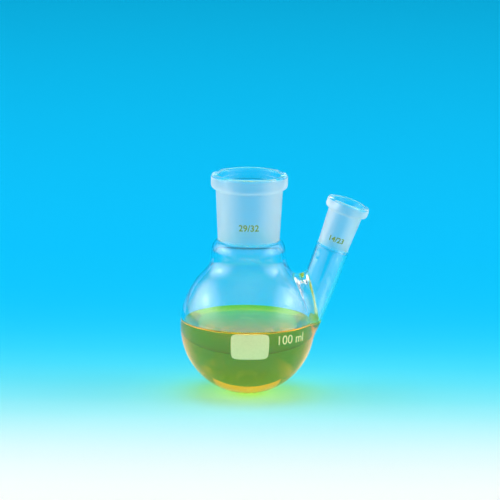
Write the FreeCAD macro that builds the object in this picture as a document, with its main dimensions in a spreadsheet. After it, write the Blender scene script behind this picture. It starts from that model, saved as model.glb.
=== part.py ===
import FreeCAD, Part
import math
import os

import Sketcher

# A two-neck pear-shaped laboratory flask, blown from one piece of borosilicate glass, and the liquid in it.
# Frame: millimetres, +Z up along the centre neck, origin at the lowest point of the round bottom,
# and the slanted side neck leans towards +X.

# Driving dimensions. The radii are those of the outside of the glass, and a bore is a socket's widest diameter.
SIZES = [
    ("bulb_radius", 32.0),  # at its widest
    ("belly_extra", 4.0),  # how much longer the arc of the belly is in radius than that
    ("belly_lift", 1.0),  # how much higher than that the widest place is
    ("flare_radius", 12.5),  # the hollow curve from the belly up into the neck
    ("ground_taper", 0.1),  # one in ten on the diameter, in both ground sockets
    ("centre_step", 3.15),  # how far the short blown neck stands outside the foot of the socket
    ("centre_tube_length", 4.1),  # the straight stretch of that neck
    ("centre_tube_wall", 1.8),  # also the wall of the bulb
    ("centre_collar_round", 2.6),  # where that neck closes in on the socket
    ("centre_inner_round", 1.6),
    ("centre_length", 32.0),  # the ground length of the socket
    ("centre_bore", 29.2),
    ("centre_wall", 1.65),
    ("centre_bead_step", 1.95),  # how far the bead stands outside the socket's widest place
    ("centre_bead_height", 7.0),
    ("centre_bead_round", 2.0),
    ("centre_rim_round", 1.4),
    ("centre_mouth_round", 1.0),
    ("side_angle", 19.0),  # lean of the side neck from upright
    ("side_proud", 1.45),  # how far outside the bulb's widest place the tube would pass if it ran on straight
    ("side_run", 39.3),  # along the tube, from level with the bulb's middle up to where it gets straight
    ("side_bend_radius", 330.0),  # the long gentle bend from there down into the bulb
    ("side_bend_angle", 7.0),
    ("side_step", 0.7),  # how far the tube stands outside the foot of the socket
    ("side_tube_length", 9.5),
    ("side_tube_wall", 1.4),
    ("side_collar_round", 0.5),
    ("side_inner_round", 0.3),
    ("side_length", 23.0),
    ("side_bore", 14.5),
    ("side_wall", 1.3),
    ("side_bead_step", 1.75),
    ("side_bead_height", 5.3),
    ("side_bead_round", 1.7),
    ("side_rim_round", 1.3),
    ("side_mouth_round", 0.8),
    ("seam_round", 4.0),  # outside, where the side tube melts into the bulb
    ("seam_inner_round", 2.6),
    ("liquid_lift", 1.4),  # how much higher than the bulb's widest place the liquid's surface is
    ("past_rim", 2.0),  # how far the form of a bore stands out of the mouth
]
SIZE = dict(SIZES)


def make_sheet(doc):
    sheet = doc.addObject("Spreadsheet::Sheet", "Sizes")
    for row, (name, number) in enumerate(SIZES, start=1):
        sheet.set(f"A{row}", name)
        sheet.set(f"B{row}", str(number))
        sheet.setAlias(f"B{row}", name)
    doc.recompute()


def origin_plane(body, role):
    return next(plane for plane in body.Origin.OriginFeatures if plane.Role == role)


def new_sketch(body, name, role):
    sketch = body.newObject("Sketcher::SketchObject", name)
    sketch.AttachmentSupport = [(origin_plane(body, role), "")]
    sketch.MapMode = "FlatFace"
    return sketch


def bind(sketch, terms, expression):
    """Add a dimension to the sketch whose value the sheet of sizes gives."""
    number = float(sketch.evalExpression(expression))
    if terms[0] == "Angle":
        number = math.radians(number)
    index = sketch.addConstraint(Sketcher.Constraint(*terms, number))
    sketch.setExpression(f"Constraints[{index}]", expression)


def revolve(body, name, sketch):
    feature = body.newObject("PartDesign::Revolution", name)
    feature.Profile = sketch
    feature.ReferenceAxis = (sketch, ["V_Axis"])


class Outline:
    """A closed half-section in a sketch, drawn upwards piece by piece from a point on the upright axis."""

    def __init__(self, sketch, start_height):
        self.sketch = sketch
        self.start_height = start_height
        self.here = (0.0, start_height)
        self.pieces = []
        self.smooth = set()

    def constrain(self, *terms):
        return self.sketch.addConstraint(Sketcher.Constraint(*terms))

    def bind(self, terms, expression):
        bind(self.sketch, terms, expression)

    def reach(self, expression):
        """Bind how far from the upright axis the outline is now."""
        index, _, end = self.pieces[-1]
        self.bind(("DistanceX", -1, 1, index, end), expression)

    def rise(self, expression, count=1):
        """Bind how much the last pieces, so many of them, climb together."""
        low, begin, _ = self.pieces[-count]
        index, _, end = self.pieces[-1]
        self.bind(("DistanceY", low, begin, index, end), expression)

    def add(self, shape, begin, end, smooth):
        index = self.sketch.addGeometry(shape, False)
        self.pieces.append((index, begin, end))
        if smooth:
            self.smooth.add(index)
        return index

    def line(self, x, climb, lies=None, smooth=False):
        """Add a line from here. A smooth piece runs on from the one before without a corner."""
        start = FreeCAD.Vector(*self.here, 0)
        self.here = (x, self.here[1] + climb)
        index = self.add(Part.LineSegment(start, FreeCAD.Vector(*self.here, 0)), 1, 2, smooth)
        if lies:
            self.constrain(lies, index)
        return index

    def arc(self, radius, first, last, expression=None, smooth=True):
        """Add an arc from here that is travelled from the first angle to the last, in degrees."""
        begin_turn, end_turn = math.radians(first), math.radians(last)
        centre = (self.here[0] - radius * math.cos(begin_turn), self.here[1] - radius * math.sin(begin_turn))
        circle = Part.Circle(FreeCAD.Vector(*centre, 0), FreeCAD.Vector(0, 0, 1), radius)
        shape = Part.ArcOfCircle(circle, min(begin_turn, end_turn), max(begin_turn, end_turn))
        begin, end = (1, 2) if first < last else (2, 1)
        index = self.add(shape, begin, end, smooth)
        if expression:
            self.bind(("Radius", index), expression)
        self.here = (centre[0] + radius * math.cos(end_turn), centre[1] + radius * math.sin(end_turn))
        return index

    def close(self, smooth):
        """Run in to the upright axis and down it, and join each piece to the one before."""
        self.line(0.0, 0.0, "Horizontal", smooth)
        self.line(0.0, self.start_height - self.here[1], "Vertical")
        last, _, end = self.pieces[-1]
        self.constrain("PointOnObject", last, end, -2)
        for (before, _, end), (index, begin, _) in zip(self.pieces[-1:] + self.pieces, self.pieces):
            self.constrain("Tangent" if index in self.smooth else "Coincident", before, end, index, begin)


def foot_radius(joint):
    """The outer radius of a socket's lower end, as a number and as an expression."""
    number = SIZE[f"{joint}_bore"] / 2 + SIZE[f"{joint}_wall"] - SIZE["ground_taper"] * SIZE[f"{joint}_length"] / 2
    name = f"Sizes.{joint}"
    return number, f"{name}_bore / 2 + {name}_wall - Sizes.ground_taper * {name}_length / 2"


def tube_radius(joint, inside):
    """The radius of one skin of the blown tube under a socket, as a number and as an expression."""
    number, expression = foot_radius(joint)
    number += SIZE[f"{joint}_step"]
    expression += f" + Sizes.{joint}_step"
    if inside:
        return number - SIZE[f"{joint}_tube_wall"], f"{expression} - Sizes.{joint}_tube_wall"
    return number, expression


def draw_bulb(outline, inside):
    """Draw the bowl, the fuller belly and the hollow flare of the bulb, each running into the next."""
    wall = SIZE["centre_tube_wall"] if inside else 0
    inset = " - Sizes.centre_tube_wall" if inside else ""
    outset = " + Sizes.centre_tube_wall" if inside else ""
    extra = SIZE["belly_extra"]
    belly = SIZE["bulb_radius"] + extra
    widest = SIZE["bulb_radius"] + SIZE["belly_lift"]
    flare = SIZE["flare_radius"]
    bowl = (belly**2 - extra**2 - widest**2) / (2 * (belly - widest))
    low_turn = math.degrees(math.atan2(bowl - widest, extra))
    tube = tube_radius("centre", inside=False)[0]
    high_turn = math.degrees(math.acos((tube + flare + extra) / (belly + flare)))

    bottom = outline.arc(bowl - wall, -90, low_turn, smooth=False)
    outline.constrain("PointOnObject", bottom, 3, -2)
    if inside:
        outline.bind(("DistanceY", -1, 1, bottom, 1), "Sizes.centre_tube_wall")
    else:
        outline.constrain("PointOnObject", bottom, 1, -1)
    side = outline.arc(belly - wall, low_turn, high_turn, f"Sizes.bulb_radius + Sizes.belly_extra{inset}")
    outline.bind(("DistanceX", side, 3, -1, 1), "Sizes.belly_extra")
    outline.bind(("DistanceY", -1, 1, side, 3), "Sizes.bulb_radius + Sizes.belly_lift")
    outline.arc(flare + wall, 180 + high_turn, 180, f"Sizes.flare_radius{outset}")
    outline.reach(tube_radius("centre", inside)[1])


def draw_outer_neck(outline, joint, smooth):
    """Draw a blown tube, its rounded collar, the tapered wall of its ground socket and the bead at the mouth."""
    name = f"Sizes.{joint}"
    collar = SIZE[f"{joint}_collar_round"]
    length = SIZE[f"{joint}_length"]
    bead = SIZE[f"{joint}_bore"] / 2 + SIZE[f"{joint}_wall"] + SIZE[f"{joint}_bead_step"]
    height = SIZE[f"{joint}_bead_height"]
    under = SIZE[f"{joint}_bead_round"]
    rim = SIZE[f"{joint}_rim_round"]
    slope = SIZE["ground_taper"] / 2
    foot, foot_expression = foot_radius(joint)

    outline.line(outline.here[0], SIZE[f"{joint}_tube_length"], "Vertical", smooth)
    outline.rise(f"{name}_tube_length")
    outline.arc(collar, 0, 90, f"{name}_collar_round")
    outline.line(foot, 0, "Horizontal", smooth=True)
    outline.reach(foot_expression)
    tapered = outline.line(foot + slope * (length - height), length - height)
    outline.bind(("Angle", tapered), "atan(2 / Sizes.ground_taper)")
    outline.rise(f"{name}_length - {name}_bead_height")
    outline.line(bead - under, 0, "Horizontal")
    outline.arc(under, -90, 0, f"{name}_bead_round")
    outline.line(bead, height - under - rim, "Vertical", smooth=True)
    outline.reach(f"{name}_bore / 2 + {name}_wall + {name}_bead_step")
    outline.rise(f"{name}_bead_height - {name}_bead_round - {name}_rim_round")
    outline.arc(rim, 0, 90, f"{name}_rim_round")
    outline.close(smooth=True)


def draw_inner_neck(outline, joint, smooth):
    """Draw the inside of the tube, the socket's tapered bore and its rounded mouth, and run on past the rim."""
    name = f"Sizes.{joint}"
    wall = SIZE[f"{joint}_tube_wall"]
    corner = SIZE[f"{joint}_inner_round"]
    length = SIZE[f"{joint}_length"]
    mouth = SIZE[f"{joint}_mouth_round"]
    widest = SIZE[f"{joint}_bore"] / 2
    slope = SIZE["ground_taper"] / 2
    throat = widest - slope * length
    straight = SIZE[f"{joint}_tube_length"] + SIZE[f"{joint}_collar_round"] - wall - corner

    outline.line(outline.here[0], straight, "Vertical", smooth)
    outline.rise(f"{name}_tube_length + {name}_collar_round - {name}_tube_wall - {name}_inner_round")
    outline.arc(corner, 0, 90, f"{name}_inner_round")
    outline.line(throat, 0, "Horizontal", smooth=True)
    outline.reach(f"{name}_bore / 2 - Sizes.ground_taper * {name}_length / 2")
    outline.line(throat, wall, "Vertical")
    outline.rise(f"{name}_tube_wall")
    bore = outline.line(widest - slope * mouth, length - mouth)
    outline.bind(("Angle", bore), "atan(2 / Sizes.ground_taper)")
    lip = outline.arc(mouth, 180, 90, f"{name}_mouth_round")
    outline.rise(f"{name}_length", count=2)
    past = outline.line(outline.here[0], SIZE["past_rim"], "Vertical")
    outline.rise("Sizes.past_rim")
    outline.constrain("PointOnObject", lip, 3, past)
    outline.close(smooth=False)


def draw_neck(outline, joint, inside, smooth):
    draw = draw_inner_neck if inside else draw_outer_neck
    draw(outline, joint, smooth)


def place_on_side_tube(sketch, up, turn_axis, turn):
    """Turn a sketch with the side neck and put its zero where the bend ends and the tube gets straight."""
    out = f"(Sizes.bulb_radius + Sizes.side_proud - ({tube_radius('side', inside=False)[1]}))"
    reach = f"{out} * cos(Sizes.side_angle) + Sizes.side_run * sin(Sizes.side_angle)"
    rise = f"Sizes.side_run * cos(Sizes.side_angle) - {out} * sin(Sizes.side_angle)"
    sketch.AttachmentOffset = FreeCAD.Placement(FreeCAD.Vector(), FreeCAD.Rotation(turn_axis, 1))
    sketch.setExpression("AttachmentOffset.Rotation.Angle", turn)
    sketch.setExpression("AttachmentOffset.Base.x", reach)
    sketch.setExpression(f"AttachmentOffset.Base.{up}", f"Sizes.bulb_radius + Sizes.belly_lift + {rise}")


def sketch_along_side_tube(body, name):
    sketch = new_sketch(body, name, "XZ_Plane")
    place_on_side_tube(sketch, "y", FreeCAD.Vector(0, 0, 1), "-Sizes.side_angle")
    return sketch


def sketch_across_side_tube(body, name):
    sketch = new_sketch(body, name, "XY_Plane")
    place_on_side_tube(sketch, "z", FreeCAD.Vector(0, 1, 0), "Sizes.side_angle")
    return sketch


def add_centre(body, inside):
    """Turn the bulb with its neck and ground socket about the centre line."""
    sketch = new_sketch(body, "CentreSection", "XZ_Plane")
    outline = Outline(sketch, SIZE["centre_tube_wall"] if inside else 0.0)
    draw_bulb(outline, inside)
    draw_neck(outline, "centre", inside, smooth=True)
    revolve(body, "Centre", sketch)


def add_side_neck(body, inside):
    """Turn the straight part of the side neck, with its ground socket, about its own slanted axis."""
    sketch = sketch_along_side_tube(body, "SideSection")
    outline = Outline(sketch, 0.0)
    radius, expression = tube_radius("side", inside)
    foot = outline.line(radius, 0, "Horizontal")
    outline.constrain("PointOnObject", foot, 1, -1)
    outline.reach(expression)
    draw_neck(outline, "side", inside, smooth=False)
    revolve(body, "SideNeck", sketch)


def add_bend(body, inside):
    """Sweep the side tube down its long gentle bend into the bulb."""
    ring = sketch_across_side_tube(body, "BendSection")
    radius, expression = tube_radius("side", inside)
    index = ring.addGeometry(Part.Circle(FreeCAD.Vector(), FreeCAD.Vector(0, 0, 1), radius), False)
    ring.addConstraint(Sketcher.Constraint("Coincident", index, 3, -1, 1))
    bind(ring, ("Radius", index), expression)

    path = sketch_along_side_tube(body, "BendPath")
    bend = SIZE["side_bend_radius"]
    circle = Part.Circle(FreeCAD.Vector(-bend, 0, 0), FreeCAD.Vector(0, 0, 1), bend)
    index = path.addGeometry(Part.ArcOfCircle(circle, -math.radians(SIZE["side_bend_angle"]), 0), False)
    path.addConstraint(Sketcher.Constraint("Coincident", index, 2, -1, 1))
    path.addConstraint(Sketcher.Constraint("PointOnObject", index, 3, -1))
    bind(path, ("Radius", index), "Sizes.side_bend_radius")
    bind(path, ("Angle", index), "Sizes.side_bend_angle")

    pipe = body.newObject("PartDesign::AdditivePipe", "Bend")
    pipe.Profile = ring
    pipe.Spine = (path, ["Edge1"])
    return pipe


def round_seam(body, feature, radius):
    """Round the seam of the side neck: the only edges that are neither straight nor circular."""
    body.Document.recompute()
    seam = [
        f"Edge{number}"
        for number, edge in enumerate(feature.Shape.Edges, start=1)
        if not edge.Degenerated and not isinstance(edge.Curve, (Part.Line, Part.Circle))
    ]
    fillet = body.newObject("PartDesign::Fillet", "Seam")
    fillet.Base = (feature, seam)
    fillet.setExpression("Radius", radius)


def make_form(doc, name, inside):
    """Make the filled form of the flask's outside, or the form of its hollow inside."""
    body = doc.addObject("PartDesign::Body", name)
    body.Label = name
    add_centre(body, inside)
    add_side_neck(body, inside)
    bend = add_bend(body, inside)
    round_seam(body, bend, "Sizes.seam_inner_round" if inside else "Sizes.seam_round")
    return body


def make_flask(doc, filled, hollow):
    flask = doc.addObject("Part::Cut", "flask")
    flask.Label = "flask"
    flask.Base = filled
    flask.Tool = hollow
    return flask


def make_liquid(doc, hollow):
    """Fill the hollow up to the liquid's level."""
    below = doc.addObject("Part::Box", "below_level")
    below.setExpression("Length", "4 * Sizes.bulb_radius")
    below.setExpression("Width", "4 * Sizes.bulb_radius")
    below.setExpression("Height", "Sizes.bulb_radius + Sizes.belly_lift + Sizes.liquid_lift")
    below.setExpression("Placement.Base.x", "-2 * Sizes.bulb_radius")
    below.setExpression("Placement.Base.y", "-2 * Sizes.bulb_radius")
    liquid = doc.addObject("Part::Common", "liquid")
    liquid.Label = "liquid"
    liquid.Base = hollow
    liquid.Tool = below
    return liquid


def check(doc):
    for item in doc.Objects:
        if "Invalid" in item.State or "Error" in item.State:
            raise RuntimeError(f"{item.Label} did not build: {item.State}")


def export(part):
    if part.Shape.isNull() or not part.Shape.isValid():
        raise RuntimeError(f"{part.Label} has no valid shape")
    part.Shape.exportStep(f"parts/{part.Label}.step")


os.makedirs("parts", exist_ok=True)
doc = FreeCAD.newDocument("TwoNeckFlask")
make_sheet(doc)
filled = make_form(doc, "filled_form", inside=False)
hollow = make_form(doc, "hollow_form", inside=True)
flask = make_flask(doc, filled, hollow)
liquid = make_liquid(doc, hollow)
doc.recompute()
check(doc)
export(flask)
export(liquid)
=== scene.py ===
import math

import bmesh
import bpy
import numpy as np
from mathutils import Matrix, Vector


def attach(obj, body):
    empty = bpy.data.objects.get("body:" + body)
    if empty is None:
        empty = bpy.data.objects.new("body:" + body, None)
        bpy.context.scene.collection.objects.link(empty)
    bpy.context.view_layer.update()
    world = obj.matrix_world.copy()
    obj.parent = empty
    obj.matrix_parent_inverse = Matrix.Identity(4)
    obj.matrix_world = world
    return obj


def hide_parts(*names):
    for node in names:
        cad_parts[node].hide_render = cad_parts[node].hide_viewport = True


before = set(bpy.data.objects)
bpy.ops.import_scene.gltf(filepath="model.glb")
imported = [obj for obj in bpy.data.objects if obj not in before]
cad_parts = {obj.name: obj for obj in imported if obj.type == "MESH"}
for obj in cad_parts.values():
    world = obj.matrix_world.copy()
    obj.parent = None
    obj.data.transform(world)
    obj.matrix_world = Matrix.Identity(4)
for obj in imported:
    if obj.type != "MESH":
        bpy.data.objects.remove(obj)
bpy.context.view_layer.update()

# A two-neck pear-shaped laboratory flask of clear borosilicate glass with a clear yellow-green liquid in it.
# Sizes are in millimetres, as in the part's source. The pieces are scaled to metres as their meshes are made.
TO_METRES = 0.001

# The half-section of the outside of the bulb: three arcs, each given by its centre and radius, and the neck.
BOWL_CENTRE, BOWL_RADIUS = (0.0, 31.8333), 31.8333
BELLY_CENTRE, BELLY_RADIUS = (-4.0, 33.0), 36.0
FLARE_CENTRE, FLARE_RADIUS = (30.3, 67.2886), 12.5
BOWL_TURN = math.degrees(math.atan2(BOWL_CENTRE[1] - BELLY_CENTRE[1], BOWL_CENTRE[0] - BELLY_CENTRE[0]))
FLARE_TURN = math.degrees(math.atan2(FLARE_CENTRE[1] - BELLY_CENTRE[1], FLARE_CENTRE[0] - BELLY_CENTRE[0]))
NECK_RADIUS = FLARE_CENTRE[0] - FLARE_RADIUS
WALL = 1.8

# The rest of the centre half-section, as (radius, height): the sloping shoulder, the ground wall of the
# socket, the rounds of its bead and rim, and inside them the round of the mouth, the throat and its ledge.
SHOULDER_TOP_RADIUS, SHOULDER_RISE = 14.65, 6.9
SOCKET_FOOT, SOCKET_TOP = (14.66, 74.19), (15.9, 98.989)
BEAD_CENTRE, BEAD_ROUND = (16.2, 100.989), 2.0
RIM_CENTRE, RIM_ROUND = (16.8, 104.589), 1.4
MOUTH_CENTRE, MOUTH_ROUND = (15.55, 104.989), 1.0
LEDGE_CENTRE, LEDGE_ROUND, LEDGE_RISE = (14.0, 73.9), 1.0, 1.2
THROAT_RADIUS, THROAT_RISE = 13.0, 5.6
TAPER = 0.05

# The side neck's own frame: up its slanted axis, from where the bend ends and the tube gets straight.
LEAN = math.radians(19.0)
SIDE_FOOT = np.array([36.7640, 0.0, 61.9060])
SIDE_OUT = np.array([math.cos(LEAN), 0.0, -math.sin(LEAN)])
SIDE_UP = np.array([math.sin(LEAN), 0.0, math.cos(LEAN)])
BEND_RADIUS = 330.0
BEND_END = -38.0

# The side neck's half-section, as (radius, height up its axis), with the same rounds as the centre one.
SIDE_STEP_CENTRE, SIDE_STEP_ROUND = (7.6, 9.5), 0.5
SIDE_FOOT_EDGE, SIDE_TOP_EDGE = (7.4, 10.0), (8.285, 27.7)
SIDE_BEAD_CENTRE, SIDE_BEAD_ROUND = (8.6, 29.4), 1.7
SIDE_RIM_CENTRE, SIDE_RIM_ROUND = (9.0, 31.7), 1.3
SIDE_MOUTH_CENTRE, SIDE_MOUTH_ROUND = (8.01, 32.2), 0.8
SIDE_LEDGE_CENTRE, SIDE_LEDGE_ROUND = (7.4, 10.0), 1.3
SIDE_THROAT_TOP = 8.6
TUBE_START = -2.0

# Where the grinding fades in and out up each socket: in the bore and on the outside, with half as much again
# on the bead.
BORE_IN, BORE_OUT = (74.1, 74.7), (98.2, 100.2)
ETCH_IN, ETCH_OUT, BEAD_ETCH = (74.15, 74.35), (104.6, 105.4), (97.5, 99.5)
SIDE_BORE_IN, SIDE_BORE_OUT = (10.1, 10.5), (27.0, 28.5)
SIDE_ETCH_IN, SIDE_ETCH_OUT, SIDE_BEAD_ETCH = (9.9, 10.2), (31.8, 32.4), (26.5, 28.0)
MORE_ON_BEAD = 0.5

# The liquid: its level, and how high and how far out from the glass its edge creeps up.
LIQUID_LEVEL = 33.7
MENISCUS = 2.0
MENISCUS_REACH = 2.2

# Each skin of the glass: how far in from the outside of the bulb it lies, its tube's radius, and the least
# and the most radius of the fillet where that tube melts into the bulb.
OUTSIDE = (0.0, 8.1, 4.0, 16.0)
INSIDE = (WALL, 6.7, 2.6, 12.0)
WETTED = (WALL - 0.25, 6.95, 2.6, 12.0)

# How far apart the points of a half-section lie before they are spaced for the mesh, and how softly its
# corners are rounded.
ARC_SPACING = 0.04
EVEN_SPACING = 0.05
CORNER_SPREAD, SIDE_CORNER_SPREAD = 0.22, 0.2


# Half-sections


def arc(centre, radius, first, last, rise=None):
    """Points (r, z) of the circle about the centre, from the first angle to the last, in degrees.

    With a rise it is an ellipse, as tall from its centre as the rise."""
    rise = rise or radius
    count = max(4, int(abs(math.radians(last - first)) * max(radius, rise) / ARC_SPACING))
    turn = np.radians(np.linspace(first, last, count))
    return np.stack([centre[0] + radius * np.cos(turn), centre[1] + rise * np.sin(turn)], axis=1)


def soften(points, spread):
    """Round each corner of a half-section.

    The points are spaced evenly along it, and each becomes the mean of its neighbours, weighted by a bell
    curve of that spread. The section is carried on past both ends, turned half round about them, so that
    its ends stay where they are."""
    gaps = np.hypot(*np.diff(points, axis=0).T)
    keep = np.concatenate([[True], gaps > 1e-6])
    points = points[keep]
    along = np.concatenate([[0.0], np.cumsum(np.hypot(*np.diff(points, axis=0).T))])
    even = np.linspace(0.0, along[-1], int(along[-1] / EVEN_SPACING))
    points = np.stack([np.interp(even, along, points[:, axis]) for axis in (0, 1)], axis=1)
    reach = int(3 * spread / EVEN_SPACING) + 1
    bell = np.exp(-0.5 * (np.arange(-reach, reach + 1) * EVEN_SPACING / spread) ** 2)
    bell /= bell.sum()
    padded = [np.pad(points[:, axis], reach, mode="reflect", reflect_type="odd") for axis in (0, 1)]
    return np.stack([np.convolve(column, bell, mode="valid") for column in padded], axis=1)


def respace(points, finest, coarsest):
    """Space a half-section's points by its curvature: a fifth of the radius of curvature apart.

    The spacing is averaged over its neighbours. The density of rows, one over that spacing, is integrated
    along the section, and the rows lie at equal steps of the integral."""
    share_of_radius, neighbours = 0.2, 25
    steps = np.diff(points, axis=0)
    lengths = np.hypot(*steps.T)
    turns = np.unwrap(np.arctan2(steps[:, 1], steps[:, 0]))
    bending = np.abs(np.gradient(turns, lengths.mean()))
    spacing = np.clip(share_of_radius / np.maximum(bending, 1e-6), finest, coarsest)
    mean = np.ones(neighbours) / neighbours
    spacing = np.convolve(np.pad(spacing, neighbours // 2, mode="edge"), mean, mode="valid")
    integral = np.concatenate([[0.0], np.cumsum(lengths / spacing)])
    rows = np.linspace(0.0, integral[-1], int(integral[-1]) + 1)
    return np.stack([np.interp(rows, integral, points[:, axis]) for axis in (0, 1)], axis=1)


def centre_section():
    """The centre half-section, from the lowest point of the outside, over the rim, to that of the inside."""
    flare = FLARE_CENTRE
    outer = [
        arc(BOWL_CENTRE, BOWL_RADIUS, -90, BOWL_TURN),
        arc(BELLY_CENTRE, BELLY_RADIUS, BOWL_TURN, FLARE_TURN),
        arc(flare, FLARE_RADIUS, 180 + FLARE_TURN, 180),
        arc((SHOULDER_TOP_RADIUS, flare[1]), NECK_RADIUS - SHOULDER_TOP_RADIUS, 0, 90, rise=SHOULDER_RISE),
        [SOCKET_FOOT, SOCKET_TOP],
        arc(BEAD_CENTRE, BEAD_ROUND, -90, 0),
        arc(RIM_CENTRE, RIM_ROUND, 0, 90),
    ]
    inner = [
        arc(MOUTH_CENTRE, MOUTH_ROUND, 90, 180),
        arc(LEDGE_CENTRE, LEDGE_ROUND, 180, 250, rise=LEDGE_RISE),
        arc((THROAT_RADIUS, flare[1]), NECK_RADIUS - WALL - THROAT_RADIUS, 77, 0, rise=THROAT_RISE),
        arc(flare, FLARE_RADIUS + WALL, 180, 180 + FLARE_TURN),
        arc(BELLY_CENTRE, BELLY_RADIUS - WALL, FLARE_TURN, BOWL_TURN),
        arc(BOWL_CENTRE, BOWL_RADIUS - WALL, BOWL_TURN, -90),
    ]
    return soften(np.concatenate(outer + inner), CORNER_SPREAD)


def side_section():
    """The side neck's half-section (r, height up its axis): the tube's outside, the rim, and the inside."""
    outer = [
        [(OUTSIDE[1], TUBE_START)],
        arc(SIDE_STEP_CENTRE, SIDE_STEP_ROUND, 0, 90),
        [SIDE_FOOT_EDGE, SIDE_TOP_EDGE],
        arc(SIDE_BEAD_CENTRE, SIDE_BEAD_ROUND, -90, 0),
        arc(SIDE_RIM_CENTRE, SIDE_RIM_ROUND, 0, 90),
    ]
    inner = [
        arc(SIDE_MOUTH_CENTRE, SIDE_MOUTH_ROUND, 90, 180),
        arc(SIDE_LEDGE_CENTRE, SIDE_LEDGE_ROUND, 180, 237),
        [(INSIDE[1], SIDE_THROAT_TOP), (INSIDE[1], TUBE_START)],
    ]
    return soften(np.concatenate(outer + inner), SIDE_CORNER_SPREAD)


# The melted joint between the bulb and the side tube


def bulb_field(points, inset):
    """Distance from the bulb's skin, and the outward direction there.

    The bowl, the belly and the hollow flare are arcs in the half-section, so each distance is the distance
    from the arc's centre less its radius, the other way round for the flare."""
    radius = np.hypot(points[:, 0], points[:, 1])
    height = points[:, 2]
    away = np.arctan2(height - BELLY_CENTRE[1], radius - BELLY_CENTRE[0])
    flared = away > math.radians(FLARE_TURN)
    bowled = away < math.radians(BOWL_TURN)
    centre_r = np.where(flared, FLARE_CENTRE[0], np.where(bowled, BOWL_CENTRE[0], BELLY_CENTRE[0]))
    centre_z = np.where(flared, FLARE_CENTRE[1], np.where(bowled, BOWL_CENTRE[1], BELLY_CENTRE[1]))
    size = np.where(flared, FLARE_RADIUS, np.where(bowled, BOWL_RADIUS, BELLY_RADIUS))
    facing = np.where(flared, -1.0, 1.0)
    out_r, out_z = radius - centre_r, height - centre_z
    length = np.hypot(out_r, out_z)
    out_r, out_z = facing * out_r / length, facing * out_z / length
    side = np.maximum(radius, 1e-9)
    direction = np.stack([out_r * points[:, 0] / side, out_r * points[:, 1] / side, out_z], axis=1)
    return facing * (length - size) + inset, direction


def tube_field(points, tube_radius):
    """Distance from the side tube's skin, and the outward direction there.

    Above the foot of the straight tube the axis is straight. Below it the axis is the arc of the long bend,
    so how far out a point lies is its distance from the bend's centre less the bend's radius. Past the end
    of the bend, inside the bulb, the distance grows as fast as the depth."""
    local = points - SIDE_FOOT
    out, up = local @ SIDE_OUT, local @ SIDE_UP
    bent = up < 0
    reach = np.hypot(out + BEND_RADIUS, np.where(bent, up, 0.0))
    across = reach - BEND_RADIUS
    tilt = np.where(bent, up, 0.0) / reach
    outward = SIDE_OUT * np.sqrt(1 - tilt**2)[:, None] + SIDE_UP * tilt[:, None]
    distance = np.hypot(across, points[:, 1])
    direction = outward * (across / distance)[:, None]
    direction[:, 1] = points[:, 1] / distance
    return distance - tube_radius + np.maximum(BEND_END - up, 0.0), direction


def glass_field(points, skin):
    """Distance from a skin of the glass, with the tube melted into the bulb, and the outward direction.

    A ball rolled along the seam touches both skins. Where the way back from the ball's centre lies between
    the two outward directions, the distance is the ball's radius less the distance from its centre, and
    elsewhere the nearer of the two skins counts. The ball grows where the skins meet at a shallow angle."""
    inset, tube_radius, least_round, most_round = skin
    bulb, bulb_out = bulb_field(points, inset)
    tube, tube_out = tube_field(points, tube_radius)
    alike = np.clip(np.sum(bulb_out * tube_out, axis=1), -0.999, 0.9995)
    ball = least_round + (most_round - least_round) * (0.5 + 0.5 * alike) ** 3
    spread = 1 - alike**2
    bulb_share = ((ball - bulb) - alike * (ball - tube)) / spread
    tube_share = ((ball - tube) - alike * (ball - bulb)) / spread
    back = bulb_share[:, None] * bulb_out + tube_share[:, None] * tube_out
    length = np.maximum(np.sqrt(np.sum(back**2, axis=1)), 1e-9)
    nearer = bulb < tube
    field = np.where(nearer, bulb, tube)
    direction = np.where(nearer[:, None], bulb_out, tube_out)
    rolled = (bulb_share > 0) & (tube_share > 0)
    field = np.where(rolled, ball - length, field)
    direction = np.where(rolled[:, None], back / length[:, None], direction)
    return field, direction


def press_on(points, skin):
    """Move points onto a skin of the glass: each of the steps goes back along the outward direction by nine
    tenths of the distance that is left."""
    steps, share = 24, 0.9
    for _ in range(steps):
        distance, direction = glass_field(points, skin)
        points = points - share * distance[:, None] * direction
    return points


def tube_point(turn, up, tube_radius):
    """The point of the side tube at an angle about its axis and a height along it."""
    bend = np.minimum(up, 0.0) / BEND_RADIUS
    centre_out = BEND_RADIUS * (np.cos(bend) - 1)
    centre_up = np.where(up < 0, BEND_RADIUS * np.sin(bend), up)
    ring = tube_radius * np.cos(turn)
    out = centre_out + ring * np.cos(bend)
    rise = centre_up + ring * np.sin(bend)
    point = SIDE_FOOT + out[..., None] * SIDE_OUT + rise[..., None] * SIDE_UP
    point[..., 1] += tube_radius * np.sin(turn)
    return point


def seam_of(turns, skin):
    """Where each straight-sided line of the tube, going down, first meets the bulb."""
    highest, lowest, tries = -1.0, -46.0, 900
    depths = np.linspace(highest, lowest, tries)
    turn_grid, depth_grid = np.meshgrid(turns, depths, indexing="ij")
    points = tube_point(turn_grid, depth_grid, skin[1])
    distance = bulb_field(points.reshape(-1, 3), skin[0])[0].reshape(turn_grid.shape)
    first = np.argmax(distance < 0, axis=1)
    rows = np.arange(len(turns))
    before, after = distance[rows, first - 1], distance[rows, first]
    share = before / (before - after)
    return depths[first - 1] + share * (depths[first] - depths[first - 1])


# Meshes


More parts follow.
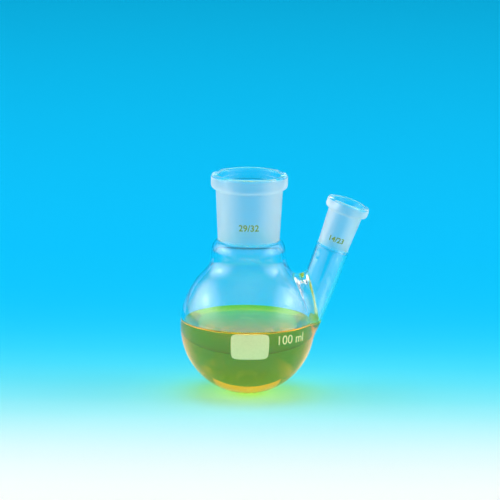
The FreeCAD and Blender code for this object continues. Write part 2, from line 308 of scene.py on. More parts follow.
def make_piece(name, points, faces, material, attributes=()):
    """Make a smooth object at the origin from points in millimetres and faces of three or four corners.

    Each attribute is a name with one number for every point."""
    mesh = bpy.data.meshes.new(name)
    mesh.from_pydata((points * TO_METRES).tolist(), [], faces)
    mesh.polygons.foreach_set("use_smooth", np.ones(len(mesh.polygons), dtype=bool))
    for attribute, numbers in attributes:
        layer = mesh.attributes.new(attribute, "FLOAT", "POINT")
        layer.data.foreach_set("value", np.asarray(numbers, dtype=np.float32))
    mesh.materials.append(material)
    mesh.update()
    piece = bpy.data.objects.new(name, mesh)
    bpy.context.scene.collection.objects.link(piece)
    return piece


def grid_faces(rows, columns):
    """Four-sided faces of a grid that closes on itself across.

    They face away from the axis where the rows climb and the columns go round against the clock."""
    index = np.arange(rows * columns).reshape(rows, columns)
    right = np.roll(index, -1, axis=1)
    return np.stack([index[:-1], right[:-1], right[1:], index[1:]], axis=-1).reshape(-1, 4)


def fan(middle, first, columns, facing_up):
    """Three-sided faces from a middle point to a ring of points that goes round against the clock."""
    ring = np.arange(columns)
    here, next_one = first + ring, first + np.roll(ring, -1)
    corners = [here, next_one] if facing_up else [next_one, here]
    return np.stack([np.full(columns, middle), *corners], axis=1)


def turned(radius, height, around):
    """Rows of points: each radius and height, turned about the upright axis to every angle."""
    return np.stack([
        radius[:, None] * np.cos(around), radius[:, None] * np.sin(around),
        np.repeat(height[:, None], len(around), axis=1)], axis=-1)


def fade(numbers, low, high):
    """Nought up to the low number, one from the high number on, and a smooth step between."""
    share = np.clip((numbers - low) / (high - low), 0.0, 1.0)
    return share * share * (3 - 2 * share)


# The glass as one closed skin

# The grid of the turned skin, and the window in it that the side tube comes out of: how many columns and rows
# it takes up, and the height of its lowest row on the outside and on the inside of the glass.
COLUMNS = 180
WINDOW_COLUMNS = 30
WINDOW_ROWS = 44
WINDOW_LOW, WINDOW_LOW_INSIDE = 17.5, 18.0

# The closest and the widest spacing of rows on the centre body and on the side neck, the rows from a window's
# edge up to the straight tube, and the radius at which the bulb is rolled out flat.
FINEST, BULB_SPACING = 0.16, 1.09
SIDE_FINEST, SIDE_SPACING = 0.14, 0.9
SEAM_ROWS = 46
PLAN_RADIUS = 31.0


def window_loop(low_row, climb):
    """Row and column numbers round the edge of the window in the bulb's grid, from its lowest middle point,
    first towards +Y. Rows climb by plus one on the outside of the glass and by minus one on the inside."""
    half = WINDOW_COLUMNS // 2
    high_row = low_row + climb * WINDOW_ROWS
    columns = np.concatenate([
        np.arange(0, half), np.full(WINDOW_ROWS, half), np.arange(half, -half, -1),
        np.full(WINDOW_ROWS, -half), np.arange(-half, 0)])
    rows = np.concatenate([
        np.full(half, low_row), np.arange(low_row, high_row, climb), np.full(WINDOW_COLUMNS, high_row),
        np.arange(high_row, low_row, -climb), np.full(half, low_row)])
    return rows, columns % COLUMNS


def on_bulb_plan(points, middle):
    """Points of the bulb rolled out flat: round it at its widest, and up."""
    return np.stack([PLAN_RADIUS * np.arctan2(points[:, 1], points[:, 0]), points[:, 2] - middle], axis=1)


def turns_round_seam(edge, skin):
    """The angle about the side tube that goes with each point of a window's edge.

    Seen from the middle of the seam, on the rolled-out bulb, both lie in the same direction."""
    table = np.linspace(-math.pi, math.pi, 1441)
    seam = tube_point(table, seam_of(table, skin), skin[1])
    middle = 0.5 * (seam[len(table) // 2, 2] + seam[0, 2])
    seam_plan, edge_plan = on_bulb_plan(seam, middle), on_bulb_plan(edge, middle)
    seam_polar = np.unwrap(np.arctan2(seam_plan[:, 0], -seam_plan[:, 1]))
    return np.interp(np.arctan2(edge_plan[:, 0], -edge_plan[:, 1]), seam_polar, table)


def seam_rows(edge, turns, skin, bulb_section):
    """Rows of points from a window's edge in to the seam and on up the tube, pressed onto the glass.

    On the bulb each column runs straight on the rolled-out plan to the tube's line at its angle, and then
    along that line. The rows are evenly spaced along each column."""
    seam_up = seam_of(turns, skin)
    start = on_bulb_plan(edge, 0.0)
    end = on_bulb_plan(tube_point(turns, seam_up, skin[1]), 0.0)
    first_length = np.hypot(*(end - start).T)
    whole = first_length + TUBE_START - seam_up
    travel = np.linspace(0.0, 1.0, SEAM_ROWS + 1)[:, None] * whole
    share = np.clip(travel / first_length, 0.0, 1.0)[..., None]
    plan = start + share * (end - start)
    radius = np.interp(plan[..., 1], bulb_section[:, 1], bulb_section[:, 0])
    angle = plan[..., 0] / PLAN_RADIUS
    bulb = np.stack([radius * np.cos(angle), radius * np.sin(angle), plan[..., 1]], axis=-1)
    tube = tube_point(turns, seam_up + np.maximum(travel - first_length, 0.0), skin[1])
    rows = np.where((travel < first_length)[..., None], bulb, tube)
    rows[1:] = press_on(rows[1:].reshape(-1, 3), skin).reshape(rows[1:].shape)
    return rows


def flask_piece(material):
    """The glass as one closed grid: a turned skin with a window on each side, and a tube between the windows.

    The centre half-section is turned about the upright axis. Round each window the bulb's skin runs in to
    the seam, over the fillet and on up the side tube, whose own half-section goes over the side mouth and
    back down to the other window. The bores of the two sockets are marked as ground, and their outsides
    up to the crest of the bead as etched."""
    section = respace(centre_section(), FINEST, BULB_SPACING)
    side = respace(side_section(), SIDE_FINEST, SIDE_SPACING)
    crest = int(np.argmax(section[:, 1]))
    outer_low = int(np.argmin(np.abs(section[:crest, 1] - WINDOW_LOW)))
    inner_low = crest + int(np.argmin(np.abs(section[crest:, 1] - WINDOW_LOW_INSIDE)))
    around = np.arange(COLUMNS) * 2 * math.pi / COLUMNS
    body = section[1:-1]
    flat = turned(body[:, 0], body[:, 1], around).reshape(-1, 3)
    poles = np.array([[0.0, 0.0, section[0, 1]], [0.0, 0.0, section[-1, 1]]])

    faces = grid_faces(len(body), COLUMNS)
    row = faces[:, 0] // COLUMNS
    near = (faces[:, 0] % COLUMNS + WINDOW_COLUMNS // 2) % COLUMNS < WINDOW_COLUMNS
    low_out, high_in = outer_low - 1, inner_low - 1
    in_outer = (row >= low_out) & (row < low_out + WINDOW_ROWS)
    in_inner = (row >= high_in - WINDOW_ROWS) & (row < high_in)
    faces = faces[~(near & (in_outer | in_inner))]
    low_cap = fan(len(flat), 0, COLUMNS, facing_up=False)
    high_cap = fan(len(flat) + 1, len(flat) - COLUMNS, COLUMNS, facing_up=True)

    outer_rows, outer_columns = window_loop(low_out, 1)
    inner_rows, inner_columns = window_loop(high_in, -1)
    outer_loop = outer_rows * COLUMNS + outer_columns
    inner_loop = inner_rows * COLUMNS + inner_columns
    turns = turns_round_seam(flat[outer_loop], OUTSIDE)
    climb = seam_rows(flat[outer_loop], turns, OUTSIDE, section[:crest])
    descent = seam_rows(flat[inner_loop], turns, INSIDE, section[:crest:-1])[::-1]
    neck = side[1:-1]
    tube = (SIDE_FOOT + neck[:, None, :1] * np.cos(turns)[:, None] * SIDE_OUT + neck[:, None, 1:] * SIDE_UP
            + neck[:, None, :1] * np.sin(turns)[:, None] * np.array([0.0, 1.0, 0.0]))
    tunnel = np.concatenate([climb, tube, descent])
    count = len(turns)
    base = len(flat) + 2
    numbers = np.concatenate([outer_loop, base + np.arange((len(tunnel) - 2) * count), inner_loop])
    tunnel_faces = numbers[grid_faces(len(tunnel), count)]

    points = np.concatenate([flat, poles, tunnel[1:-1].reshape(-1, 3)])
    inside = np.arange(len(body)) >= crest
    side_inside = np.arange(len(neck)) >= int(np.argmax(neck[:, 1]))
    bored = inside * fade(body[:, 1], *BORE_IN) * (1 - fade(body[:, 1], *BORE_OUT))
    etched = ~inside * fade(body[:, 1], *ETCH_IN) * (1 - fade(body[:, 1], *ETCH_OUT))
    etched *= 1 + MORE_ON_BEAD * fade(body[:, 1], *BEAD_ETCH)
    side_bored = side_inside * fade(neck[:, 1], *SIDE_BORE_IN) * (1 - fade(neck[:, 1], *SIDE_BORE_OUT))
    side_etched = ~side_inside * fade(neck[:, 1], *SIDE_ETCH_IN) * (1 - fade(neck[:, 1], *SIDE_ETCH_OUT))
    side_etched *= 1 + MORE_ON_BEAD * fade(neck[:, 1], *SIDE_BEAD_ETCH)
    plain = (np.zeros((len(climb) - 1) * count), np.zeros((len(descent) - 1) * count))
    frosting = [
        np.concatenate([np.repeat(centre, COLUMNS), [0.0, 0.0], plain[0], np.repeat(beside, count), plain[1]])
        for centre, beside in ((bored, side_bored), (etched, side_etched))]
    used = np.zeros(len(points), dtype=bool)
    for block in (faces, low_cap, high_cap, tunnel_faces):
        used[block] = True
    renumber = np.cumsum(used) - 1
    all_faces = [renumber[block].tolist() for block in (faces, low_cap, high_cap, tunnel_faces)]
    return make_piece("flask_glass", points[used], sum(all_faces, []), material,
                      [("ground", frosting[0][used]), ("etched", frosting[1][used])])


# The liquid


def liquid_piece(material):
    """The liquid: rays from the middle of its surface, down and outwards, stop at the wetted wall.

    The parameters are the angle round the axis and the ray's angle from straight down. The halving of an
    interval along every ray at once finds the wall. Above, the surface is a grid of rings from the wall in
    to the middle, and rises towards the wall by the height of the meniscus times e to the power of minus
    the distance from the wall over the meniscus's reach."""
    columns, depths, surface_radius = 200, 70, 29.0
    nearest, farthest, halvings = 5.0, 42.0, 40
    around = np.arange(columns) * 2 * math.pi / columns
    eye = np.array([0.0, 0.0, LIQUID_LEVEL])
    lift = math.degrees(math.atan2(MENISCUS, surface_radius))
    down = np.concatenate([np.linspace(90 / depths, 90, depths), 90 + np.linspace(0, lift, 4)[1:]])
    down = np.radians(down)
    ray = turned(np.sin(down), -np.cos(down), around).reshape(-1, 3)
    near, far = np.full(len(ray), nearest), np.full(len(ray), farthest)
    for _ in range(halvings):
        middle = 0.5 * (near + far)
        inside = glass_field(eye + middle[:, None] * ray, WETTED)[0] < 0
        near, far = np.where(inside, middle, near), np.where(inside, far, middle)
    wall = (eye + near[:, None] * ray).reshape(len(down), columns, 3)
    rim = wall[-1]
    reach = np.hypot(rim[:, 0], rim[:, 1])
    inward = np.concatenate([np.linspace(0.0, 6.0, 16)[1:] / 30, np.linspace(0.2, 1.0, 26)[1:-1]])
    flat = 1 - inward[:, None]
    from_wall = inward[:, None] * reach
    level = LIQUID_LEVEL + (rim[:, 2] - LIQUID_LEVEL) * np.exp(-from_wall / MENISCUS_REACH)
    surface = np.stack([flat * rim[:, 0], flat * rim[:, 1], level], axis=-1)
    rings = np.concatenate([wall, surface])
    count = len(rings) * columns
    points = np.concatenate([rings.reshape(-1, 3), [[0.0, 0.0, WETTED[0]], [0.0, 0.0, LIQUID_LEVEL]]])
    low_cap = fan(count, 0, columns, facing_up=False)
    high_cap = fan(count + 1, count - columns, columns, facing_up=True)
    faces = grid_faces(len(rings), columns).tolist() + low_cap.tolist() + high_cap.tolist()
    return make_piece("liquid_fill", points, faces, material)


# The marks


def enamel_field(material):
    """The writing field: rings of a rounded rectangle, from its middle out to its edge and back underneath.

    The outline is a superellipse with a high power, laid round the bulb: across becomes the angle about the
    axis and up becomes the way along the half-section."""
    width, height, power, columns = 18.3, 12.6, 7.0, 160
    top, underside = 0.07, -0.05
    turn = np.arange(columns) * 2 * math.pi / columns
    cosine, sine = np.cos(turn), np.sin(turn)
    length = (np.abs(cosine) ** power + np.abs(sine) ** power) ** (-1 / power)
    share = np.concatenate([
        np.linspace(0.06, 0.98, 16), [0.99, 1.0], [1.0, 0.985], np.linspace(0.9, 0.06, 12)])
    raised = np.concatenate([np.full(16, top), [0.062, 0.03], [-0.02, underside], np.full(12, underside)])
    flat = np.stack([
        share[:, None] * length * cosine * width / 2, share[:, None] * length * sine * height / 2,
        np.repeat(raised[:, None], columns, axis=1)], axis=-1).reshape(-1, 3)
    count = len(flat)
    flat = np.concatenate([flat, [[0.0, 0.0, top], [0.0, 0.0, underside]]])
    faces = grid_faces(len(share), columns)[:, ::-1]  # the rings run outwards on top, not up a tube
    top_cap = fan(count, 0, columns, facing_up=True)
    low_cap = fan(count + 1, count - columns, columns, facing_up=False)
    points = lay_on_bulb(flat, across=1.3, height=28.9)
    return make_piece("writing_field", points, faces.tolist() + top_cap.tolist() + low_cap.tolist(), material)


def front_of_bulb(height):
    """The arc that the front of the bulb follows at a height: its centre, its radius and the angle up it."""
    turn = math.asin(np.clip((height - BELLY_CENTRE[1]) / BELLY_RADIUS, -1, 1))
    if math.degrees(turn) < BOWL_TURN:
        turn = math.asin((height - BOWL_CENTRE[1]) / BOWL_RADIUS)
        return BOWL_CENTRE, BOWL_RADIUS, turn
    return BELLY_CENTRE, BELLY_RADIUS, turn


def lay_on_bulb(flat, across, height):
    """Lay flat points (across, up, raised) on the front of the bulb.

    Up is a length along the bulb's arc, across is a length round it, and raised is away from it."""
    centre, radius, turn = front_of_bulb(height)
    turns = turn + flat[:, 1] / radius
    out = centre[0] + (radius + flat[:, 2]) * np.cos(turns)
    rise = centre[1] + (radius + flat[:, 2]) * np.sin(turns)
    middle = centre[0] + radius * math.cos(turn)
    angle = (flat[:, 0] + across) / middle
    return np.stack([out * np.sin(angle), -out * np.cos(angle), rise], axis=1)


def lay_on_cone(flat, foot, radius, slope, out, up):
    """Lay flat points (across, up, raised) on the front of a ground socket's tapered wall.

    Foot is the middle of the place on the axis, radius is the wall's there, and slope how fast it widens."""
    front = np.array([0.0, -1.0, 0.0])
    size = radius + slope * flat[:, 1] + flat[:, 2]
    angle = flat[:, 0] / radius
    return (foot + (size * np.sin(angle))[:, None] * out + (size * np.cos(angle))[:, None] * front
            + flat[:, 1:2] * up)


def lettering(text, height, thickness, bolder):
    """The outline of plain figures as closed flat-lying solids: points (across, up, raised) and faces."""
    sunk = 0.04
    curve = bpy.data.curves.new("figures", "FONT")
    curve.body = text
    curve.size = 1.0
    curve.align_x = "CENTER"
    curve.align_y = "CENTER"
    curve.resolution_u = 4
    curve.extrude = 0.02
    curve.offset = bolder
    holder = bpy.data.objects.new("figures", curve)
    bpy.context.scene.collection.objects.link(holder)
    bpy.context.view_layer.update()
    mesh = bpy.data.meshes.new_from_object(holder.evaluated_get(bpy.context.evaluated_depsgraph_get()))
    bpy.data.objects.remove(holder)
    bpy.data.curves.remove(curve)
    build = bmesh.new()
    build.from_mesh(mesh)
    bmesh.ops.remove_doubles(build, verts=build.verts, dist=1e-5)
    bmesh.ops.recalc_face_normals(build, faces=build.faces)
    build.to_mesh(mesh)
    build.free()
    points = np.empty(len(mesh.vertices) * 3)
    mesh.vertices.foreach_get("co", points)
    points = points.reshape(-1, 3)
    tall = np.ptp(points[:, 1])
    points[:, :2] -= 0.5 * (points[:, :2].min(axis=0) + points[:, :2].max(axis=0))
    points[:, :2] *= height / tall
    points[:, 2] = np.where(points[:, 2] > 0, thickness, -sunk)
    faces = [list(polygon.vertices) for polygon in mesh.polygons]
    bpy.data.meshes.remove(mesh)
    return points, faces


def figure_piece(name, text, height, thickness, bolder, lay, material):
    """Raised figures, laid on the glass by the function lay, with flat faces and crisp edges."""
    points, faces = lettering(text, height, thickness, bolder)
    piece = make_piece(name, lay(points), faces, material)
    piece.data.polygons.foreach_set("use_smooth", np.zeros(len(piece.data.polygons), dtype=bool))
    return piece


# Materials


def new_material(name):
    """A material with its nodes, its links, its shader and its output."""
    material = bpy.data.materials.new(name)
    material.use_nodes = True
    nodes = material.node_tree.nodes
    return material, nodes, material.node_tree.links, nodes["Principled BSDF"], nodes["Material Output"]


def noise(nodes, links, scale, detail=2.0, roughness=0.5):
    """Noise on Object coordinates, at a scale in waves for each metre."""
    place = nodes.new("ShaderNodeTexCoord")
    texture = nodes.new("ShaderNodeTexNoise")
    texture.inputs["Scale"].default_value = scale
    texture.inputs["Detail"].default_value = detail
    texture.inputs["Roughness"].default_value = roughness
    links.new(place.outputs["Object"], texture.inputs["Vector"])
    return texture.outputs["Fac"]


def spread_between(nodes, links, source, low, high, from_low=0.0, from_high=1.0):
    """Map a number from one range to another."""
    ranged = nodes.new("ShaderNodeMapRange")
    links.new(source, ranged.inputs["Value"])
    ranged.inputs["From Min"].default_value = from_low
    ranged.inputs["From Max"].default_value = from_high
    ranged.inputs["To Min"].default_value = low
    ranged.inputs["To Max"].default_value = high
    return ranged.outputs["Result"]


def calculate(nodes, links, operation, first, second):
    """A number worked out from two others, each a plain number or what another node gives."""
    node = nodes.new("ShaderNodeMath")
    node.operation = operation
    for socket, source in zip(node.inputs, (first, second)):
        if isinstance(source, (int, float)):
            socket.default_value = source
        else:
            links.new(source, socket)
    return node.outputs[0]


def let_lamps_through(nodes, links, surface, tint, output):
    """Let lamps shine through, tinted, so that the glass throws a clear soft shadow.

    Light that has been turned back three times inside the walls, or bent eight times, leaves straight
    through them too, so that thick corners don't go black."""
    most_turned_back, most_bent = 2.5, 7.5
    path = nodes.new("ShaderNodeLightPath")
    clear = nodes.new("ShaderNodeBsdfTransparent")
    clear.inputs["Color"].default_value = tint
    mix = nodes.new("ShaderNodeMixShader")
    turned_back = calculate(nodes, links, "GREATER_THAN", path.outputs["Glossy Depth"], most_turned_back)
    bent = calculate(nodes, links, "GREATER_THAN", path.outputs["Ray Depth"], most_bent)
    trapped = calculate(nodes, links, "MAXIMUM", turned_back, bent)
    links.new(calculate(nodes, links, "MAXIMUM", path.outputs["Is Shadow Ray"], trapped), mix.inputs[0])
    links.new(surface, mix.inputs[1])
    links.new(clear.outputs[0], mix.inputs[2])
    links.new(mix.outputs[0], output.inputs["Surface"])


def glass_finish():
    """Clear blown glass with faint waves, and a fine milky grain where the sockets are ground."""
    material, nodes, links, shader, output = new_material("blown_glass")
    frosting = []
    for name in ("ground", "etched"):
        attribute = nodes.new("ShaderNodeAttribute")
        attribute.attribute_name = name
        frosting.append(attribute.outputs["Fac"])
    side = nodes.new("ShaderNodeNewGeometry")
    outer = calculate(nodes, links, "SUBTRACT", 1.0, side.outputs["Backfacing"])
    outer = calculate(nodes, links, "MULTIPLY", outer, frosting[1])
    ground = calculate(nodes, links, "ADD", frosting[0], outer)
    smoothest, milk_at_edge, most_milk, grain_height = 0.004, 0.62, 0.9, 0.35
    grain = noise(nodes, links, scale=2600.0, detail=3.0, roughness=0.7)
    patches = noise(nodes, links, scale=240.0)
    shader.inputs["Base Color"].default_value = (0.985, 0.995, 1.0, 1)
    shader.inputs["IOR"].default_value = 1.473
    uneven = spread_between(nodes, links, patches, low=0.30, high=0.42)
    rough = calculate(nodes, links, "MULTIPLY", ground, uneven)
    links.new(calculate(nodes, links, "ADD", rough, smoothest), shader.inputs["Roughness"])
    glance = nodes.new("ShaderNodeLayerWeight")
    glance.inputs["Blend"].default_value = 0.35
    milk = calculate(
        nodes, links, "ADD",
        spread_between(nodes, links, grain, low=0.02, high=0.06, from_low=0.3, from_high=0.7),
        calculate(nodes, links, "MULTIPLY", glance.outputs["Facing"], milk_at_edge))
    milky = calculate(nodes, links, "MULTIPLY", ground, milk)
    milky = calculate(nodes, links, "MINIMUM", milky, most_milk)
    links.new(calculate(nodes, links, "SUBTRACT", 1.0, milky), shader.inputs["Transmission Weight"])
    waves = noise(nodes, links, scale=70.0, detail=1.0)
    wavy = nodes.new("ShaderNodeBump")
    wavy.inputs["Strength"].default_value = 0.05
    wavy.inputs["Distance"].default_value = 0.0004
    links.new(waves, wavy.inputs["Height"])
    grainy = nodes.new("ShaderNodeBump")
    grainy.inputs["Distance"].default_value = 0.00004
    links.new(calculate(nodes, links, "MULTIPLY", ground, grain_height), grainy.inputs["Strength"])
    links.new(grain, grainy.inputs["Height"])
    links.new(wavy.outputs[0], grainy.inputs["Normal"])
    links.new(grainy.outputs[0], shader.inputs["Normal"])
    let_lamps_through(nodes, links, shader.outputs[0], tint=(0.93, 0.97, 0.98, 1), output=output)
    return material


def liquid_finish():
    """A clear yellow liquid: it takes up nearly all blue light, so that it looks green before blue."""
    material, nodes, links, shader, output = new_material("clear_liquid")
    drift = noise(nodes, links, scale=60.0, detail=1.0)
    colour = nodes.new("ShaderNodeMix")
    colour.data_type = "RGBA"
    colour.inputs["A"].default_value = (0.99, 0.95, 0.06, 1)
    colour.inputs["B"].default_value = (1.0, 0.92, 0.05, 1)
    links.new(drift, colour.inputs["Factor"])
    links.new(colour.outputs["Result"], shader.inputs["Base Color"])
    shader.inputs["IOR"].default_value = 1.333
    shader.inputs["Roughness"].default_value = 0.0
    links.new(spread_between(nodes, links, drift, low=0.955, high=0.97), shader.inputs["Transmission Weight"])
    let_lamps_through(nodes, links, shader.outputs[0], tint=(0.86, 0.91, 0.20, 1), output=output)
    absorb = nodes.new("ShaderNodeVolumeAbsorption")
    absorb.inputs["Color"].default_value = (1.0, 0.82, 0.0, 1)
    absorb.inputs["Density"].default_value = 85.0
    links.new(absorb.outputs[0], output.inputs["Volume"])
    return material


def enamel_finish(name, colour, dark):
    """Fired enamel: matt, a little uneven in colour, with a fine powdery grain."""
    material, nodes, links, shader, _ = new_material(name)
    cloud = noise(nodes, links, scale=900.0, detail=4.0, roughness=0.65)
    mix = nodes.new("ShaderNodeMix")
    mix.data_type = "RGBA"
    mix.inputs["A"].default_value = dark
    mix.inputs["B"].default_value = colour
    share = spread_between(nodes, links, cloud, low=0.0, high=1.0, from_low=0.3, from_high=0.6)
    links.new(share, mix.inputs["Factor"])
    links.new(mix.outputs["Result"], shader.inputs["Base Color"])
    links.new(spread_between(nodes, links, cloud, low=0.45, high=0.7), shader.inputs["Roughness"])
    bump = nodes.new("ShaderNodeBump")
    bump.inputs["Strength"].default_value = 0.3
    bump.inputs["Distance"].default_value = 0.00003
    links.new(noise(nodes, links, scale=5200.0), bump.inputs["Height"])
    links.new(bump.outputs[0], shader.inputs["Normal"])
    return material


# The stage, the light and the camera


# The paper is white before the flask and sky blue behind it. Going back, red falls off first and green later,
# each by a smooth step with its middle, in metres behind the flask's centre line, and its softness.
WHITE_PAPER = (1.0, 1.0, 0.985)
BLUE_PAPER = (0.004, 0.54, 0.985)
RED_STEP, GREEN_STEP = (-0.076, 0.047), (0.022, 0.060)
BACKDROP = (0.004, 0.54, 1.0)
DIM_PAPER = (0.05, 0.30, 0.46)
DIM_FROM, PAPER_FROM, PAPER_TO, BACKDROP_FROM = -0.300, -0.215, 0.290, 0.325
DIM_ROOM = (0.14, 0.32, 0.42)
BULB_MIDDLE = (0.0, 0.0, 0.05)


def paper_colours():
    """The floor's colour at each of a few places behind the flask's centre line, in metres.

    Each channel is its blue paper's value plus the difference to white over one plus e to the power of the
    distance behind the step's middle over its softness."""
    behind = np.linspace(PAPER_FROM, PAPER_TO, 16)
    white, blue = np.array(WHITE_PAPER), np.array(BLUE_PAPER)
    middle, softness = np.array([RED_STEP, GREEN_STEP, GREEN_STEP]).T
    colours = blue + (white - blue) / (1 + np.exp((behind[:, None] - middle) / softness))
    return [(DIM_FROM, DIM_PAPER), *zip(behind.tolist(), colours.tolist()), (BACKDROP_FROM, BACKDROP)]


def floor_piece():
    """A wide round floor, white before the flask, that turns to sky blue behind it, as a coloured sweep does.

    Nearer than the photo shows it gets dim, so that little of it is reflected in the glass."""
    rings = np.geomspace(0.02, 12.0, 40)
    columns = 96
    around = np.arange(columns) * 2 * math.pi / columns
    points = turned(rings, np.zeros(len(rings)), around).reshape(-1, 3)
    middle_cap = fan(len(points), 0, columns, facing_up=True)
    faces = grid_faces(len(rings), columns)[:, ::-1].tolist() + middle_cap.tolist()
    points = np.concatenate([points, [[0.0, 0.0, 0.0]]])
    material, nodes, links, shader, _ = new_material("paper_floor")
    place = nodes.new("ShaderNodeTexCoord")
    apart = nodes.new("ShaderNodeSeparateXYZ")
    links.new(place.outputs["Object"], apart.inputs[0])
    ramp = nodes.new("ShaderNodeValToRGB")
    nearest, farthest = -0.5, 0.5
    behind_flask = spread_between(
        nodes, links, apart.outputs["Y"], low=0.0, high=1.0, from_low=nearest, from_high=farthest)
    links.new(behind_flask, ramp.inputs["Fac"])
    stops = [(behind - nearest, colour) for behind, colour in paper_colours()]
    while len(ramp.color_ramp.elements) < len(stops):
        ramp.color_ramp.elements.new(0.5)
    for element, (position, colour) in zip(ramp.color_ramp.elements, stops):
        element.position = position
        element.color = (*colour, 1)
    links.new(ramp.outputs["Color"], shader.inputs["Base Color"])
    shader.inputs["Roughness"].default_value = 1.0
    shader.inputs["Specular IOR Level"].default_value = 0.0
    make_piece("paper_floor", points / TO_METRES, faces, material)


def studio_world():
    """Even pale light, and the room wherever the camera, a reflection or a view through glass meets it.

    Behind the flask the room is the blue paper, at both sides white, and in front and overhead a dim blue."""
    world = bpy.data.worlds.new("studio")
    bpy.context.scene.world = world
    world.use_nodes = True
    nodes, links = world.node_tree.nodes, world.node_tree.links
    nodes.clear()
    even = nodes.new("ShaderNodeBackground")
    even.inputs["Color"].default_value = (0.96, 0.98, 1.0, 1)
    even.inputs["Strength"].default_value = 0.24
    way = nodes.new("ShaderNodeTexCoord")
    apart = nodes.new("ShaderNodeSeparateXYZ")
    links.new(way.outputs["Generated"], apart.inputs[0])
    beside = calculate(nodes, links, "ABSOLUTE", apart.outputs["X"], 0.0)
    blend_from, blend_to = 0.55, 0.85
    room = (*DIM_ROOM, 1)
    for source, colour in ((beside, (0.95, 0.98, 1.0, 1)), (apart.outputs["Y"], (*BACKDROP, 1))):
        blend = nodes.new("ShaderNodeMix")
        blend.data_type = "RGBA"
        share = spread_between(
            nodes, links, source, low=0.0, high=1.0, from_low=blend_from, from_high=blend_to)
        links.new(share, blend.inputs["Factor"])
        if isinstance(room, tuple):
            blend.inputs["A"].default_value = room
        else:
            links.new(room, blend.inputs["A"])
        blend.inputs["B"].default_value = colour
        room = blend.outputs["Result"]
    sweep = nodes.new("ShaderNodeBackground")
    links.new(room, sweep.inputs["Color"])
    sweep.inputs["Strength"].default_value = 1.0
    path = nodes.new("ShaderNodeLightPath")
    seen = calculate(nodes, links, "MAXIMUM", path.outputs["Is Camera Ray"], path.outputs["Is Glossy Ray"])
    seen = calculate(nodes, links, "MAXIMUM", seen, path.outputs["Is Transmission Ray"])
    mix = nodes.new("ShaderNodeMixShader")
    output = nodes.new("ShaderNodeOutputWorld")
    links.new(seen, mix.inputs[0])
    links.new(even.outputs[0], mix.inputs[1])
    links.new(sweep.outputs[0], mix.inputs[2])
    links.new(mix.outputs[0], output.inputs["Surface"])


def soft_box(name, place, aim, width, height, edge, core, fading=False):
    """A white cloth lit from behind: as bright as core in its middle, and as edge round that.

    A fading cloth gets evenly darker from a fifth of its size out from the middle to its rim. The way out
    from the middle is counted in shares of the cloth's size."""
    core_ends, cloth_fades = (0.04, 0.24), (0.2, 0.5)
    lamp = bpy.data.lights.new(name, "AREA")
    lamp.shape = "RECTANGLE"
    lamp.size, lamp.size_y = width, height
    lamp.energy = math.pi * width * height
    lamp.use_nodes = True
    nodes, links = lamp.node_tree.nodes, lamp.node_tree.links
    place_on = nodes.new("ShaderNodeNewGeometry")
    from_middle = nodes.new("ShaderNodeVectorMath")
    from_middle.operation = "DISTANCE"
    from_middle.inputs[1].default_value = (0.5, 0.5, 0.0)
    links.new(place_on.outputs["Parametric"], from_middle.inputs[0])
    glow = spread_between(nodes, links, from_middle.outputs["Value"], 1.0, 0.0, *core_ends)
    glow = calculate(nodes, links, "POWER", glow, 2.0)
    glow = calculate(nodes, links, "MULTIPLY", glow, core - edge)
    cloth = edge
    if fading:
        cloth = spread_between(nodes, links, from_middle.outputs["Value"], edge, 0.0, *cloth_fades)
    links.new(calculate(nodes, links, "ADD", glow, cloth), nodes["Emission"].inputs["Strength"])
    holder = bpy.data.objects.new(name, lamp)
    holder.location = place
    holder.rotation_euler = (Vector(aim) - Vector(place)).to_track_quat("-Z", "Y").to_euler()
    holder.visible_camera = False
    bpy.context.scene.collection.objects.link(holder)
    return holder


def light_in_liquid():
    """A small lamp in the bulb that stands in for the warm light that the round liquid gathers below it."""
    lamp = bpy.data.lights.new("gathered_light", "AREA")
    lamp.shape = "DISK"
    lamp.size = 0.02
    lamp.energy = 0.042
    lamp.color = (1.0, 0.42, 0.0)
    holder = bpy.data.objects.new("gathered_light", lamp)
    holder.location = (0.0, 0.0, 0.022)
    hide_from_glass(holder)
    bpy.context.scene.collection.objects.link(holder)


def hide_from_glass(lamp):
    """Keep a lamp's own shape out of reflections and out of what is seen through the glass."""
    lamp.visible_camera = lamp.visible_glossy = lamp.visible_transmission = False


def photo_camera():
    """A long lens well back from the flask, 12 degrees above the level, turned by under a degree."""
    distance, height, aside = 2.6, 0.0691, 0.0007
    lean, turn = math.radians(12.0), math.radians(0.75)
    sensor, pixels_across, pixels_per_metre = 36.0, 500, 2106
    camera = bpy.data.cameras.new("photo_camera")
    camera.sensor_width = sensor
    camera.lens = sensor / pixels_across * pixels_per_metre * distance
    camera.clip_end = 50.0
    holder = bpy.data.objects.new("photo_camera", camera)
    place = Matrix.Translation((aside, -distance * math.cos(lean), height + distance * math.sin(lean)))
    holder.matrix_world = place @ Matrix.Rotation(math.pi / 2 - lean, 4, "X") @ Matrix.Rotation(turn, 4, "Z")
    bpy.context.scene.collection.objects.link(holder)
    bpy.context.scene.camera = holder


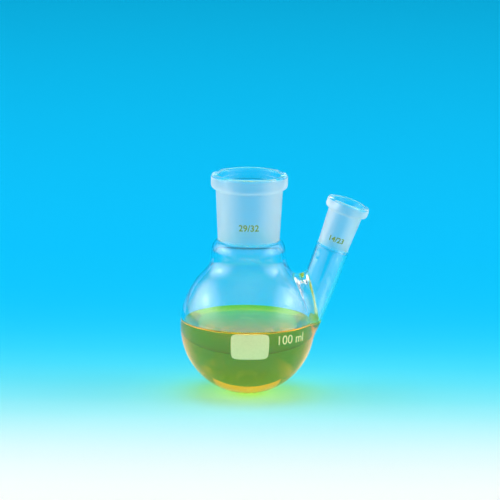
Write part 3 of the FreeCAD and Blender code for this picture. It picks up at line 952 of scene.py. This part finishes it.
studio_world()
floor_piece()
soft_box("left_window", place=(-1.30, 0.10, 0.62), aim=BULB_MIDDLE, width=2.4, height=1.3,
         edge=1.9, core=5.2, fading=True)
soft_box("right_window", place=(1.30, 0.05, 0.65), aim=BULB_MIDDLE, width=2.4, height=1.3,
         edge=1.8, core=4.5, fading=True)
warm_card = soft_box("warm_card", place=(0.0, 1.1, 1.15), aim=BULB_MIDDLE, width=1.4, height=1.0,
                     edge=0.9, core=0.9)
warm_card.data.color = (1.0, 0.6, 0.3)
warm_card.visible_glossy = False  # seen only through the liquid, low in the bowl
overhead = soft_box("overhead", place=(0.0, 0.15, 1.6), aim=(0.0, 0.1, 0.0), width=1.2, height=1.0,
                    edge=3.0, core=3.0)
overhead.data.color = (0.93, 0.98, 1.0)
hide_from_glass(overhead)
front_fill = soft_box("front_fill", place=(0.0, -1.7, 0.9), aim=BULB_MIDDLE, width=1.4, height=1.0,
                      edge=1.5, core=1.5)
hide_from_glass(front_fill)
light_in_liquid()
photo_camera()

glass = glass_finish()
green = liquid_finish()
white = enamel_finish("white_enamel", (0.98, 0.96, 0.46, 1), (0.92, 0.91, 0.41, 1))
olive = enamel_finish("olive_enamel", (0.40, 0.46, 0.0, 1), (0.30, 0.37, 0.0, 1))

flask = flask_piece(glass)
liquid = liquid_piece(green)
liquid.data.set_sharp_from_angle(angle=math.radians(45))
field = enamel_field(white)
volume_mark = figure_piece(
    "volume_figures", "100 ml", height=4.4, thickness=0.06, bolder=0.004, material=white,
    lay=lambda flat: lay_on_bulb(flat, across=23.2, height=31.6))
centre_mark = figure_piece(
    "centre_size_figures", "29/32", height=3.2, thickness=0.05, bolder=0.018, material=olive,
    lay=lambda flat: lay_on_cone(flat, foot=np.array([0.0, 0.0, 82.6]), radius=15.08, slope=TAPER,
                                 out=np.array([1.0, 0.0, 0.0]), up=np.array([0.0, 0.0, 1.0])))
side_mark = figure_piece(
    "side_size_figures", "14/23", height=2.6, thickness=0.05, bolder=0.022, material=olive,
    lay=lambda flat: lay_on_cone(flat, foot=SIDE_FOOT + 15.0 * SIDE_UP, radius=7.65, slope=TAPER,
                                 out=SIDE_OUT, up=SIDE_UP))

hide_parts("flask")
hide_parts("liquid")
for piece in (flask, liquid, field, volume_mark, centre_mark, side_mark):
    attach(piece, "root")

bpy.context.scene.view_settings.view_transform = "Standard"
